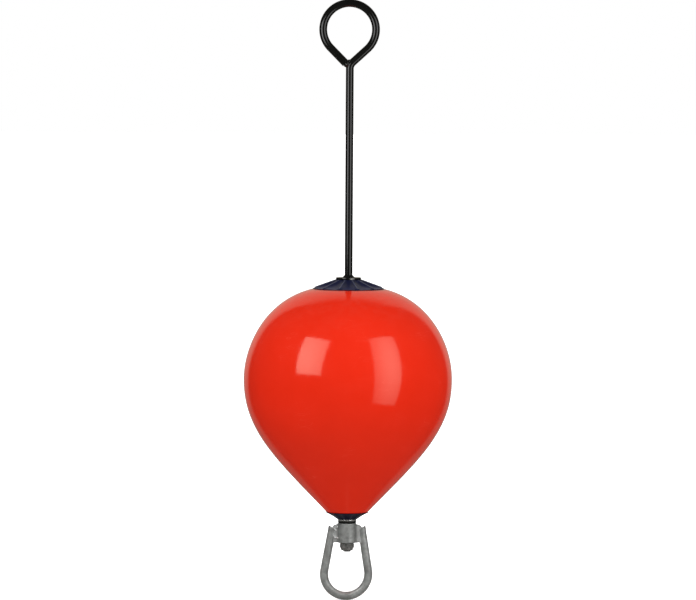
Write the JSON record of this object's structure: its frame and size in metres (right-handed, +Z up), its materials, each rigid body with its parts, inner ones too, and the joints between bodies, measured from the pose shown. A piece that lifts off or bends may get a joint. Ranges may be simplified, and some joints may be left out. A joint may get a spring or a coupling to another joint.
{
  "type": "inflatable pick-up mooring buoy",
  "caption": "Pear-shaped inflated float between fluted caps on a steel through bar, with a pick-up eye at the top and a freely turning swivel loop below.",
  "frame": {"origin": "on the through bar's axis at the waterline, for a light ground chain hung from the swivel", "axes": "+Z up along the bar towards the pick-up eye; the eye and the swivel loop lie in the XZ plane"},
  "size_m": [0.372, 0.372, 1.0731],
  "materials": {
    "float_vinyl": "glossy orange-red vinyl",
    "cap_plastic": "satin navy moulding",
    "black_bar": "gloss black coating",
    "bright_steel": "bright turned steel",
    "bearing_plastic": "dull black bearing plastic",
    "nut_steel": "dull zinc-coated steel",
    "galvanised_steel": "hot-dip galvanised, spangled"
  },
  "bodies": {
    "buoy": {"float_body": "float_vinyl", "top_cap": "cap_plastic", "bottom_cap": "cap_plastic", "through_bar": "black_bar", "pick_up_eye": "black_bar", "eye_weld": "black_bar", "stop_flange": "black_bar", "flange_weld": "black_bar", "thrust_washer": "bright_steel", "bearing_ring": "bearing_plastic", "lock_nut": "nut_steel"},
    "swivel": {"swivel_sleeve": "galvanised_steel", "swivel_loop": "galvanised_steel", "swivel_web_left": "galvanised_steel", "swivel_web_right": "galvanised_steel"}
  },
  "joints": [
    {"name": "swivel_spin", "type": "hinge", "parent": "buoy", "child": "swivel", "pos_m": [0, 0, -0.2543], "axis": [0, 0, 1], "continuous": true}
  ]
}
